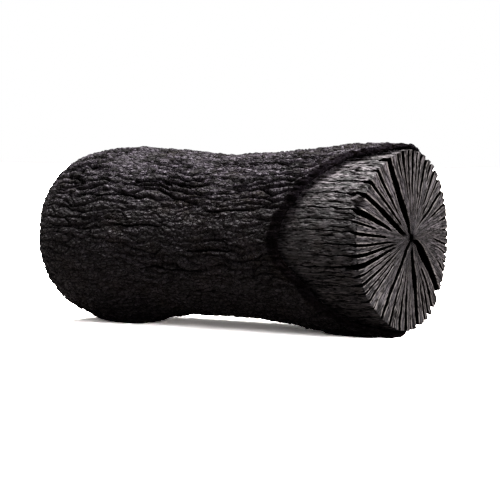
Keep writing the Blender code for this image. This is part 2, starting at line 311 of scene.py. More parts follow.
def skin(rings: list[int], closed: bool) -> list[tuple[int, ...]]:
    """The faces between rings of points that follow each other.

    Args:
        rings: each ring's point count. A count may divide that of the ring beside it.
        closed: whether the last ring joins the first.

    Returns:
        Faces as tuples of point numbers.
    """
    starts = np.cumsum([0] + rings)
    faces: list[tuple[int, ...]] = []
    for first in range(len(rings) if closed else len(rings) - 1):
        second = (first + 1) % len(rings)
        flip = rings[first] < rings[second]
        many, few = (second, first) if flip else (first, second)
        step = rings[many] // rings[few]
        for j in range(rings[few]):
            fine = [int(starts[many]) + (j * step + i) % rings[many] for i in range(step + 1)]
            coarse = [int(starts[few]) + j, int(starts[few]) + (j + 1) % rings[few]]
            middle = step // 2
            if step == 1:
                strip = [(fine[0], coarse[0], coarse[1], fine[1])]
            else:
                strip = [(fine[i], coarse[0] if i < middle else coarse[1], fine[i + 1]) for i in range(step)]
                strip.append((fine[middle], coarse[0], coarse[1]))
            faces += [tuple(reversed(face)) if flip else face for face in strip]
    return faces


def piece_of(
    part: Part, points: Array, faces: list, values: dict[str, Array], material: bpy.types.Material
) -> bpy.types.Object:
    """A piece of the scene that stands for a node of the frame.

    Args:
        part: the node.
        points: its mesh's points.
        faces: its mesh's faces.
        values: named values for each point that its material reads, single numbers or triples.
        material: its finish.

    Returns:
        The new object, riding on the log's body.
    """
    mesh = bpy.data.meshes.new(f"charred_{part.value}")
    mesh.from_pydata(points.tolist(), [], faces)
    mesh.polygons.foreach_set("use_smooth", np.ones(len(mesh.polygons), bool))
    mesh.set_sharp_from_angle(angle=SHARP_ANGLE)
    for name, value in values.items():
        kind, key = ("FLOAT", "value") if value.ndim == 1 else ("FLOAT_VECTOR", "vector")
        mesh.attributes.new(name, kind, "POINT").data.foreach_set(key, value.astype(np.float32).ravel())
    mesh.materials.append(material)
    mesh.update()
    piece = bpy.data.objects.new(mesh.name, mesh)
    bpy.context.scene.collection.objects.link(piece)
    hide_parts(part.value)
    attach(piece, "root")
    triangles = sum(len(polygon.vertices) - 2 for polygon in mesh.polygons)
    log.info("%s: %d points, %d triangles", piece.name, len(points), triangles)
    return piece


# Finishes


def linear(hex_colour: str) -> Colour:
    """A colour given in sRGB hex, as the linear values that a shader takes."""
    channels = [int(hex_colour[i : i + 2], 16) / 255 for i in (1, 3, 5)]
    red, green, blue = (c / 12.92 if c <= 0.04045 else ((c + 0.055) / 1.055) ** 2.4 for c in channels)
    return (red, green, blue, 1.0)


def add_node(
    tree: bpy.types.NodeTree, kind: str, inputs: dict[str | int, Any] | None = None,
    output: str | int = 0, **settings: Any,
) -> bpy.types.NodeSocket | None:
    """Add a node with its settings, and set or link its inputs.

    Args:
        tree: the node tree.
        kind: Blender's name for the node, without the word ShaderNode that it starts with.
        inputs: a value or another node's output, by the input's name or number.
        output: the name or number of the output that is wanted.
        settings: the node's own properties.

    Returns:
        That output, or None for a node that has none.
    """
    node = tree.nodes.new(f"ShaderNode{kind}")
    for name, value in settings.items():
        setattr(node, name, value)
    for name, value in (inputs or {}).items():
        if isinstance(value, bpy.types.NodeSocket):
            tree.links.new(value, node.inputs[name])
        else:
            node.inputs[name].default_value = value
    return node.outputs[output] if len(node.outputs) else None


def new_material(name: str) -> tuple[bpy.types.Material, Callable[..., Any]]:
    """A material with an empty node tree, and add_node for that tree."""
    material = bpy.data.materials.new(name)
    material.use_nodes = True
    material.node_tree.nodes.clear()
    return material, partial(add_node, material.node_tree)


# Noise keeps to about a quarter of its range, so a bump read from it is made this many times as high
NOISE_LIFT = 4


@dataclass(frozen=True)
class CharredBark:
    """Oak bark charred through in a kiln.

    It is porous, matt and nearly black where it faces sideways. A greyish violet glint from above is painted
    onto flakes on its crumbs, painted shade blackens its furrows and the gaps between crumbs, and the freshly
    broken edge is blacker still, partly as fresh char of its own and partly as painted shade.
    """

    body: str = "#181516"
    # Painted glint from above, laid on the crumbs
    painted_glint: str = "#49424b"
    # Black of painted shade in the furrows, the gaps between crumbs and the inner face, and of the freshly
    # broken char at the lip
    painted_shade_and_break_black: str = "#030202"
    scorched: str = "#20160f"
    roughness: tuple[float, float] = (0.42, 0.78)
    specular: float = 0.2
    ior: float = 1.5
    patch_mm: float = 14.0
    crumb_mm: float = 1.5
    crumb_squeeze: float = 0.5
    grit_mm: float = 0.65
    crumb_height_mm: float = 0.7
    grit_height_mm: float = 0.2
    gap: float = 0.13
    rounded_over: float = 0.35

    def material(self) -> bpy.types.Material:
        """The finish as a node material."""
        material, add = new_material("charred_bark_finish")
        place = add("TexCoord", output="Object")
        furrow, torn_and_painted_shade, tone_and_painted_top_light = (
            add("Attribute", output="Fac", attribute_name=name) for name in ("furrow", "torn_and_painted_shade", "tone_and_painted_top_light")
        )

        # Crumbs are cells of the size given in millimetres that lie along the log
        along = add("Mapping", {"Vector": place, "Scale": (self.crumb_squeeze, 1.0, 1.0)})
        patches = add("TexNoise", {"Vector": place, "Scale": 1 / (self.patch_mm * MM), "Detail": 2.0})
        grit = add(
            "TexNoise", {"Vector": along, "Scale": 1 / (self.grit_mm * MM), "Detail": 2.0, "Roughness": 0.6}
        )
        cells = {"Vector": along, "Scale": 1 / (self.crumb_mm * MM)}
        from_gap = add("TexVoronoi", cells, output="Distance", feature="DISTANCE_TO_EDGE")
        chance = add("SeparateColor", {"Color": add("TexVoronoi", cells, output="Color")})

        # Each crumb's painted glint is as bright as its own chance, the grit and the painted light from above
        # say
        toned = add("Math", {0: chance, 1: grit}, operation="MULTIPLY")
        bright = add("MapRange", {"Value": toned, "From Min": 0.12, "From Max": 0.5})
        painted_glint_share = add("Math", {0: bright, 1: tone_and_painted_top_light}, operation="MULTIPLY")
        brown = add("MapRange", {"Value": patches, "From Min": 0.5, "From Max": 0.8, "To Max": 0.6})
        # Painted shade: gaps between crumbs, furrows and the torn edge are mixed towards black
        in_gap = add("MapRange", {"Value": from_gap, "From Min": self.gap, "From Max": 0.0, "To Max": 0.9})
        hollow = add("Math", {0: furrow, 1: torn_and_painted_shade}, operation="MAXIMUM")
        dark = add("Math", {0: hollow, 1: in_gap}, operation="MAXIMUM")
        colour = linear(self.body)
        for share, over in ((brown, self.scorched), (painted_glint_share, self.painted_glint), (dark, self.painted_shade_and_break_black)):
            colour = add("Mix", {0: share, 6: colour, 7: linear(over)}, output=2, data_type="RGBA")
        roughness = add("MapRange", {
            "Value": toned, "From Min": 0.1, "From Max": 0.5,
            "To Min": self.roughness[1], "To Max": self.roughness[0],
        })

        # Crumbs are rounded and gritty, and what lies in a gap or a furrow doesn't shine
        rounded = add(
            "MapRange", {"Value": from_gap, "From Max": self.rounded_over}, interpolation_type="SMOOTHSTEP"
        )
        coarse = add("Bump", {"Height": rounded, "Distance": self.crumb_height_mm * MM, "Strength": 1.0})
        fine = add("Bump", {
            "Height": grit, "Distance": self.grit_height_mm * NOISE_LIFT * MM, "Strength": 1.0,
            "Normal": coarse,
        })
        sheen = add("MapRange", {"Value": dark, "From Max": 0.8, "To Min": self.specular, "To Max": 0.0})
        shader = add("BsdfPrincipled", {
            "Base Color": colour, "Roughness": roughness, "IOR": self.ior,
            "Specular IOR Level": sheen, "Normal": fine,
        })
        add("OutputMaterial", {"Surface": shader})
        return material


@dataclass(frozen=True)
class CharredWood:
    """Dense oak wood charred through, sawn across its end before it was charred.

    Its cell walls have turned to a faintly silky char, so it shines softly along the grain where bark is
    matt. Streaks of lighter and darker char follow the grain, out from the pith and on down the side.
    """

    body: str = "#131112"
    pale: str = "#8b8388"
    # Painted highlight laid along the wedges' lips
    lip: str = "#9c9592"
    # Painted shade in the deepest fibres
    dark: str = "#060505"
    warm: str = "#241e18"
    # Black of painted shade in splits, cracks, chips, the sunk pith, the hidden part and the side's lower
    # half
    split: str = "#010101"
    roughness: tuple[float, float] = (0.34, 0.62)
    specular: float = 0.26
    ior: float = 1.5
    streak_mm: float = 0.9
    streak_length_mm: float = 6.5
    fibre_mm: float = 0.55
    fibre_length_mm: float = 2.4
    blotch_mm: float = 8.0
    streak_height_mm: float = 0.22
    fibre_height_mm: float = 0.14

    def material(self) -> bpy.types.Material:
        """The finish as a node material. Its patterns read the grain attribute, which is in millimetres."""
        material, add = new_material("charred_wood_finish")
        grain = add("Attribute", output="Vector", attribute_name="grain")
        split, painted_highlight, tone_and_painted_top_light = (
            add("Attribute", output="Fac", attribute_name=name) for name in ("split", "painted_highlight", "tone_and_painted_top_light")
        )
        drawn_out, fine = (
            add("Mapping", {"Vector": grain, "Scale": (1 / across, 1 / across, 1 / along)})
            for across, along in (
                (self.streak_mm, self.streak_length_mm), (self.fibre_mm, self.fibre_length_mm)
            )
        )
        streaks = add("TexNoise", {"Vector": drawn_out, "Scale": 1.0, "Detail": 3.0, "Roughness": 0.6})
        fibres = add("TexNoise", {"Vector": fine, "Scale": 1.0, "Detail": 2.0})
        blotches = add("TexNoise", {"Vector": grain, "Scale": 1 / self.blotch_mm, "Detail": 4.0})

        # Pale streaks are as bright as the wedge tone and the painted light from above say, and painted shade
        # keeps the deepest fibres dark
        bright = add("MapRange", {"Value": streaks, "From Min": 0.46, "From Max": 0.67})
        light = add("Math", {0: bright, 1: tone_and_painted_top_light}, operation="MULTIPLY")
        deep = add("MapRange", {"Value": fibres, "From Min": 0.54, "From Max": 0.38, "To Max": 0.9})
        warm = add("MapRange", {"Value": blotches, "From Min": 0.5, "From Max": 0.75, "To Max": 0.5})
        hidden = add("Math", {0: split, 1: deep}, operation="MAXIMUM")
        colour = linear(self.body)
        # The painted highlight on the lips and the painted shade in fibres and splits are mixed into the
        # colour
        for share, over in (
            (warm, self.warm), (light, self.pale), (painted_highlight, self.lip), (deep, self.dark), (split, self.split)
        ):
            colour = add("Mix", {0: share, 6: colour, 7: linear(over)}, output=2, data_type="RGBA")
        roughness = add("MapRange", {
            "Value": streaks, "From Min": 0.35, "From Max": 0.65,
            "To Min": self.roughness[1], "To Max": self.roughness[0],
        })
        coarse = add("Bump", {
            "Height": streaks, "Distance": self.streak_height_mm * NOISE_LIFT * MM, "Strength": 1.0,
        })
        bumped = add("Bump", {
            "Height": fibres, "Distance": self.fibre_height_mm * NOISE_LIFT * MM, "Strength": 1.0,
            "Normal": coarse,
        })
        sheen = add("MapRange", {"Value": hidden, "From Max": 0.9, "To Min": self.specular, "To Max": 0.0})
        shader = add("BsdfPrincipled", {
            "Base Color": colour, "Roughness": roughness, "IOR": self.ior,
            "Specular IOR Level": sheen, "Normal": bumped,
        })
        add("OutputMaterial", {"Surface": shader})
        return material


@dataclass(frozen=True)
class PaperSweep:
    """Matt white studio paper: it shows no grain at this distance and takes a soft shadow.

    The camera sees it overexposed, so white swallows all but the core of the shadow. It sends less light
    back up than such paper does, as if black cards stood round the log.
    """

    colour: str = "#fcf7f3"
    bounced: str = "#787370"
    roughness: float = 0.9
    overexposed: float = 3.4

    def material(self) -> bpy.types.Material:
        """The finish as a node material."""
        material, add = new_material("white_paper")
        white = [channel * self.overexposed for channel in linear(self.colour)[:3]] + [1.0]
        dull, bright = (
            add("BsdfDiffuse", {"Color": colour, "Roughness": self.roughness})
            for colour in (linear(self.bounced), white)
        )
        seen = add("LightPath", output="Is Camera Ray")
        add("OutputMaterial", {"Surface": add("MixShader", {0: seen, 1: dull, 2: bright})})
        return material


# The log's form


@dataclass(frozen=True)
class LogForm:
    """The log's overall shape, which both pieces follow."""

    near_face_x: float = 84.6 * MM
    far_face_x: float = -85.0 * MM
    station_x: tuple[float, ...] = (-86.0, -81.0, -74.0, -59.0, -32.0, -6.0, 22.0, 42.0, 60.0, 84.6)
    station_height: tuple[float, ...] = (40.2, 39.9, 39.7, 39.6, 39.9, 39.2, 39.4, 40.4, 40.8, 41.0)
    station_radius: tuple[float, ...] = (30.5, 34.2, 37.4, 40.0, 39.4, 38.2, 38.8, 39.9, 41.4, 41.8)
    bark_thickness: float = 3.4 * MM
    hollow: float = 3.3 * MM
    hollow_ends: tuple[float, float] = (-50.0 * MM, 44.0 * MM)
    hollow_fade: float = 30.0 * MM
    middle: tuple[float, float] = field(init=False)

    def __post_init__(self) -> None:
        """Read where the frame's solids lie."""
        low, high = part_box(Part.WOOD.value)
        object.__setattr__(self, "middle", (high[0] - self.near_face_x, (low[1] + high[1]) / 2))

    def outer_radius(self, x: Array) -> Array:
        """Radius of the log over the bark's ridges."""
        return through(np.array(self.station_x) * MM, np.array(self.station_radius) * MM, x)

    def core_radius(self, x: Array) -> Array:
        """Radius of the wood under the bark."""
        return self.outer_radius(x) - self.bark_thickness

    def placed(self, x: Array, radius: Array, theta: Array) -> Array:
        """Points in the frame's place.

        Args:
            x: places along the log, as the sizes above have them.
            radius: distances from its centre line.
            theta: angles round it.

        Returns:
            The points, moved as the frame's box says. The underside is hollow between the places it rests on.
        """
        height = through(np.array(self.station_x) * MM, np.array(self.station_height) * MM, x)
        start, end = self.hollow_ends
        between = ease((x - start) / self.hollow_fade) * ease((end - x) / self.hollow_fade)
        height = height + self.hollow * between * np.clip(-np.sin(theta), 0, 1) ** 3
        x, radius, theta, height = np.broadcast_arrays(x, radius, theta, height)
        middle_x, middle_y = self.middle
        return np.stack(
            [x + middle_x, radius * np.cos(theta) + middle_y, height + radius * np.sin(theta)], axis=-1
        )


# How far the bark has broken back from the near face, round the log: degrees, millimetres
EXPOSURE = (
    (0, 9.0), (30, 6.0), (60, 3.0), (90, 1.6), (105, 6.0), (120, 17.0), (150, 34.0), (178, 41.0),
    (195, 35.0), (212, 26.0), (232, 18.0), (250, 5.0), (265, 3.0), (282, 5.5), (300, 9.0), (330, 12.0),
)


@dataclass(frozen=True)
class Furrow:
    """One long furrow in the bark: its angle in degrees, and its ends and width in millimetres."""

    angle: float
    start: float
    end: float
    width: float


@dataclass
class BarkSleeve:
    """The bark: a sleeve of crumbly plates with a ragged lip that stands off the wood."""

    form: LogForm
    finish: CharredBark
    seat_gap: float = 0.55 * MM
    columns: int = 448
    outer_rings: int = 200
    inner_rings: int = 12
    inner_step: int = 4
    lip_rings: int = 12
    denser_in_front: float = 0.28

    # The lip: how it curls off the wood, its ragged edge and how far its broken face slopes
    lip_slope: float = 3.6 * MM
    least_slope: float = 0.35
    lip_crumbs: tuple[Clouds, Clouds] = (Clouds(2.6 * MM, 2.2 * MM, 41), Clouds(1.2 * MM, 1.1 * MM, 42))
    lip_crumb_heights: tuple[float, float] = (0.5 * MM, 0.35 * MM)
    lip_crumb_span: float = 6.0 * MM
    lip_crumb_lift: float = 0.6
    lip_bulge: tuple[float, float, float] = (0.08, 0.88, 0.7)
    lip_curl: float = 1.9 * MM
    lip_lift: float = 0.9 * MM
    lip_firm: float = 5.0 * MM
    lip_firmness: float = 0.55
    lip_reach: float = 12.0 * MM
    lip_ragged: float = 1.3 * MM
    lip_least: float = 1.2 * MM
    lip_ragged_from: float = 8.0 * MM
    full_exposure: float = 30.0 * MM
    lip_edge: float = 1.6 * MM
    edge_step: float = 0.2 * MM
    far_edge: float = 2.0 * MM
    far_edge_out: float = 0.8 * MM
    far_edge_ragged: float = 0.6 * MM
    far_edge_profile: tuple[tuple[float, float], ...] = ((0.35, 0.8), (0.75, 1.0), (1.0, 0.9))
    lip_waves: Waves = Waves(SEED + 1, 23, 1.0, 9)
    far_edge_waves: Waves = Waves(SEED + 6, 17, 1.0, 7)
    swell_waves: Waves = Waves(SEED + 5, 5, 60 * MM, 5)
    swell: float = 0.5 * MM

    # For the finish: how much painted furrow shade, and how much black of torn char and painted shade, the
    # lip, the edges and the inner face take
    lip_values: tuple[float, float] = (0.3, 0.85)
    inner_values: tuple[float, float] = (0.6, 1.0)
    far_edge_values: tuple[float, float] = (0.3, 0.5)
    torn_crest: float = 0.8
    torn_rings: int = 4
    furrow_shade: float = 0.75
    gap_shade: float = 0.35

    # Plates between furrows that merge and part, and the crumbs that they are made of
    plates: Cells = Cells(3.6 * MM, 17.0 * MM, 21)
    plate_warp: tuple[Clouds, Clouds] = (Clouds(13 * MM, 17 * MM, 31), Clouds(5 * MM, 6 * MM, 32))
    plate_warp_by: tuple[float, float] = (2.6 * MM, 0.9 * MM)
    plate_fade: Clouds = Clouds(16 * MM, 26 * MM, 33)
    plate_fade_by: tuple[float, float, float] = (0.62, 0.75, 0.18)
    smoother_at: tuple[float, float] = (math.radians(188), math.radians(46))
    smoother_by: float = 0.35
    plate_step: float = 0.75 * MM
    plate_tilt: float = 0.5 * MM
    furrow_width: tuple[float, float] = (0.6 * MM, 1.3 * MM)
    furrow_open: float = 0.6
    furrow_depth: tuple[float, float] = (0.7 * MM, 1.9 * MM)
    crumbs: Cells = Cells(1.9 * MM, 2.7 * MM, 22)
    crumb_warp_by: float = 0.25 * MM
    crumb_gap: float = 0.6 * MM
    crumb_depth: float = 0.5 * MM
    crumb_step: float = 0.5 * MM
    lumps: tuple[Clouds, Clouds] = (Clouds(3.4 * MM, 5.0 * MM, 34), Clouds(1.5 * MM, 2.0 * MM, 35))
    lump_heights: tuple[float, float] = (0.35 * MM, 0.4 * MM)
    ridge_height: float = 0.7 * MM

    # The few long furrows that stand out
    long_furrows: tuple[Furrow, ...] = (
        Furrow(128, -80, -48, 1.0), Furrow(146, -84, -66, 0.8), Furrow(150, -62, -30, 0.7),
        Furrow(139, -36, 6, 0.8), Furrow(158, 2, 30, 0.7), Furrow(170, -44, -14, 0.6),
        Furrow(184, -6, 22, 0.6), Furrow(199, -30, 4, 0.6), Furrow(118, 0, 44, 1.0),
        Furrow(104, -70, -20, 1.1), Furrow(92, -30, 30, 1.1), Furrow(216, -8, 30, 0.6),
        Furrow(60, -60, 0, 1.1), Furrow(40, -20, 60, 1.0), Furrow(15, -70, -10, 1.0),
        Furrow(350, 0, 70, 1.0), Furrow(325, -60, 10, 1.0), Furrow(236, -70, -24, 0.9),
    )
    long_furrow_depth: float = 1.3 * MM
    long_furrow_wander: Clouds = Clouds(GIRTH / 5, 14 * MM, 36)
    long_furrow_wander_by: float = 1.6 * MM
    long_furrow_ends: float = 6.0 * MM
    long_furrow_steep: float = 1.3

    # The two places on the underside that carry the log
    rest_x: tuple[float, float] = (-59.0 * MM, 60.0 * MM)
    rest_half_length: float = 19.0 * MM
    rest_half_angle: float = math.radians(20)
    rest_relief: float = -0.3 * MM

    def exposure(self, theta: Array) -> Array:
        """How far back from the near face the lip lies.

        Args:
            theta: angles round the log.

        Returns:
            The distances there.
        """
        back = round_the_log(EXPOSURE, theta) * MM
        ragged = self.lip_ragged * self.lip_waves.read(theta, 0.0) * ease(back / self.lip_ragged_from)
        return np.maximum(back + ragged, self.lip_least)

    def pressed_flat(self, theta: Array, x: Array) -> Array:
        """1 on the two places that the log rests on, 0 elsewhere."""
        below = ease(2 - 2 * np.abs(turned_from(theta, UNDERSIDE)) / self.rest_half_angle)
        return below * sum(ease(2 - 2 * np.abs(x - rest) / self.rest_half_length) for rest in self.rest_x)

    def furrowed(self, theta: Array, x: Array) -> Array:
        """How deep the long furrows cut.

        Args:
            theta: angles round the log.
            x: places along it.

        Returns:
            1 along a furrow's middle, falling to 0 at its sides and ends.
        """
        cut = np.zeros(theta.shape)
        for furrow in self.long_furrows:
            way = math.radians(furrow.angle)
            wander = self.long_furrow_wander_by * self.long_furrow_wander.read(theta * 0 + way, x)
            away = np.abs(turned_from(theta, way) * RADIUS - wander) / (furrow.width * MM)
            started = ease((x - furrow.start * MM) / self.long_furrow_ends)
            ended = ease((furrow.end * MM - x) / self.long_furrow_ends)
            cut = np.maximum(cut, ease(self.long_furrow_steep * (1 - away)) * started * ended)
        return cut

    def relief(self, theta: Array, x: Array) -> tuple[Array, Array]:
        """How the bark is broken up.

        Args:
            theta: angles round the log.
            x: places along it.

        Returns:
            How far the surface lies below the highest ridges, and how much painted shade each point takes
            from its furrow or crumb gap.
        """
        wide, narrow = (clouds.read(theta, x) for clouds in self.plate_warp)
        bent = theta + (self.plate_warp_by[0] * wide + self.plate_warp_by[1] * narrow) / RADIUS
        moved = x + 2 * self.plate_warp_by[1] * self.lumps[0].read(bent, x)
        plate = self.plates.read(bent, moved)
        usual, varied, least = self.plate_fade_by
        fade = np.clip(usual + varied * self.plate_fade.read(theta, x), least, 1.0)
        fade = fade * (1 - self.smoother_by * around(theta, *self.smoother_at, 4))
        width, depth = (
            low + (high - low) * plate.sideways for low, high in (self.furrow_width, self.furrow_depth)
        )
        furrow = ease(1 - plate.border / (width * self.furrow_open * (1 + fade))) * fade
        long_cut = self.furrowed(theta, x)

        crumb = self.crumbs.read(bent + self.crumb_warp_by * narrow / RADIUS, moved)
        gap = ease(1 - crumb.border / self.crumb_gap)
        below = furrow * depth + long_cut * self.long_furrow_depth
        below = below + plate.chance * self.plate_step * fade
        below = below + self.plate_tilt * np.clip(plate.ahead + 0.5, 0, 1)
        below = below + gap * self.crumb_depth + crumb.chance * self.crumb_step
        below = below + lumps_below(self.lumps, self.lump_heights, theta, x)
        below = below + lumps_below((self.swell_waves,), (self.swell,), theta, x) - self.ridge_height
        pressed = self.pressed_flat(theta, x)
        shade = np.clip(self.furrow_shade * furrow + long_cut + self.gap_shade * gap, 0, 1)
        return below * (1 - pressed) + self.rest_relief * pressed, shade * (1 - 0.5 * pressed)

    def build(self) -> bpy.types.Object:
        """The bark as one closed mesh."""
        form = self.form
        theta = np.arange(self.columns) * FULL_TURN / self.columns
        theta = theta + self.denser_in_front * np.sin(theta)
        lip_x = form.near_face_x - self.exposure(theta)
        far_ragged = self.far_edge_ragged * self.far_edge_waves.read(theta, 0.0)
        far_x = form.far_face_x - self.far_edge_out + far_ragged
        lifted = ease(self.exposure(theta) / self.full_exposure)
        start, stop = lip_x - self.lip_edge, far_x + self.far_edge
        crest = start - self.lip_slope * (self.least_slope + (1 - self.least_slope) * lifted)

        def near_lip(x: Array, most: float) -> Array:
            """The rise of the bark towards its lip, at most as much as given."""
            return most * lifted * ease(1 - (lip_x - x) / self.lip_reach)

        def top(x: Array) -> tuple[Array, Array]:
            """Radius of the bark's outer face, and how much painted furrow shade it takes."""
            below, furrow = self.relief(theta, x)
            below = below * (1 - self.lip_firmness * ease(1 - (lip_x - x) / self.lip_firm))
            return form.outer_radius(x) + near_lip(x, self.lip_curl) - below, furrow

        def seat(x: Array) -> Array:
            """Radius of the bark's inner face."""
            return form.core_radius(x) + self.seat_gap + near_lip(x, self.lip_lift)

        rings, furrows, torn_and_painted_shade, tone_and_painted_top_light = [], [], [], []

        def add_ring(points: Array, furrow: Array | float, broken: float) -> None:
            """Keep one ring, with how much painted furrow shade and how much black of torn char and painted
            shade it takes, for the finish.
            """
            rings.append(points)
            furrows.append(np.broadcast_to(furrow, len(points)))
            torn_and_painted_shade.append(np.full(len(points), broken))
            tone_and_painted_top_light.append(painted_top_light_at(theta)[:: self.columns // len(points)])

        for share in np.linspace(0, 1, self.outer_rings):
            x = crest + share * (stop - crest)
            radius, furrow = top(x)
            near = float(np.clip(1 - share * self.outer_rings / self.torn_rings, 0, 1))
            add_ring(form.placed(x, radius, theta), furrow, self.torn_crest * near)
        far_top, _ = top(stop)
        for turned, out in self.far_edge_profile:
            radius = far_top * (1 - turned) + (seat(stop) + self.edge_step) * turned
            add_ring(form.placed(stop - out * self.far_edge, radius, theta), *self.far_edge_values)
        for share in np.linspace(1, 0, self.inner_rings):
            x = start + share * (stop - start)
            add_ring(form.placed(x, seat(x), theta)[:: self.inner_step], *self.inner_values)
        lip_top, _ = top(crest)
        for turned in np.linspace(1, 0, self.lip_rings + 2)[1:-1]:
            radius = lip_top * (1 - turned) + (seat(start) + self.edge_step) * turned
            x = crest * (1 - turned) + start * turned
            low, high, power = self.lip_bulge
            x = x + self.lip_edge * math.sin(math.pi * (low + (high - low) * turned)) ** power
            place = turned * self.lip_crumb_span
            crumbly = sum(h * c.read(theta, place) for c, h in zip(self.lip_crumbs, self.lip_crumb_heights))
            crumbly = crumbly * math.sin(math.pi * turned) ** 0.5
            points = form.placed(x + crumbly, radius + self.lip_crumb_lift * crumbly, theta)
            add_ring(points, *self.lip_values)

        points = np.concatenate(rings)
        points[:, 2] = np.maximum(points[:, 2], 0.0)
        values = {"furrow": np.concatenate(furrows), "torn_and_painted_shade": np.concatenate(torn_and_painted_shade), "tone_and_painted_top_light": np.concatenate(tone_and_painted_top_light)}
        faces = skin([len(ring) for ring in rings], closed=True)
        return piece_of(Part.BARK, points, faces, values, self.finish.material())


# The splits of the near face: degrees from the pith, inner end as a share of the radius, width in millimetres
SPLITS = (
    (2, 0.78, 0.8), (11, 0.74, 0.9), (22, 0.52, 1.1), (33, 0.04, 1.1), (43, 0.34, 1.6), (52, 0.46, 1.6),
    (59, 0.72, 1.1), (67, 0.20, 2.3), (76, 0.36, 1.9), (83, 0.60, 1.4), (90, 0.16, 2.4), (97, 0.46, 1.5),
    (105, 0.24, 2.3), (112, 0.66, 1.2), (120, -0.08, 2.6), (131, 0.34, 1.4), (141, 0.20, 1.5),
    (149, 0.08, 1.7), (159, 0.36, 2.2), (166, 0.60, 0.9), (173, 0.42, 1.2), (181, 0.30, 1.1),
    (188, 0.26, 1.3), (195, 0.28, 2.0), (201, 0.34, 1.0), (207, 0.20, 1.2), (213, 0.30, 0.9),
    (219, 0.34, 0.9), (225, 0.62, 0.7), (234, -0.06, 1.2), (243, 0.32, 1.5), (249, 0.70, 1.0),
    (256, 0.28, 1.8), (265, 0.22, 2.1), (273, 0.55, 1.4), (282, 0.06, 2.3), (290, 0.50, 1.4),
    (297, 0.18, 2.4), (305, 0.40, 1.9), (315, -0.12, 3.1), (329, 0.74, 1.0), (336, 0.80, 0.8),
    (343, 0.70, 0.8), (350, 0.56, 0.9), (356, 0.84, 0.7),
)


@dataclass(frozen=True)
class Chip:
    """A pit where char has crumbled out: its angle in degrees, its place back from the rim and its size."""

    angle: float
    reach: float
    across: float
    along: float
    depth: float


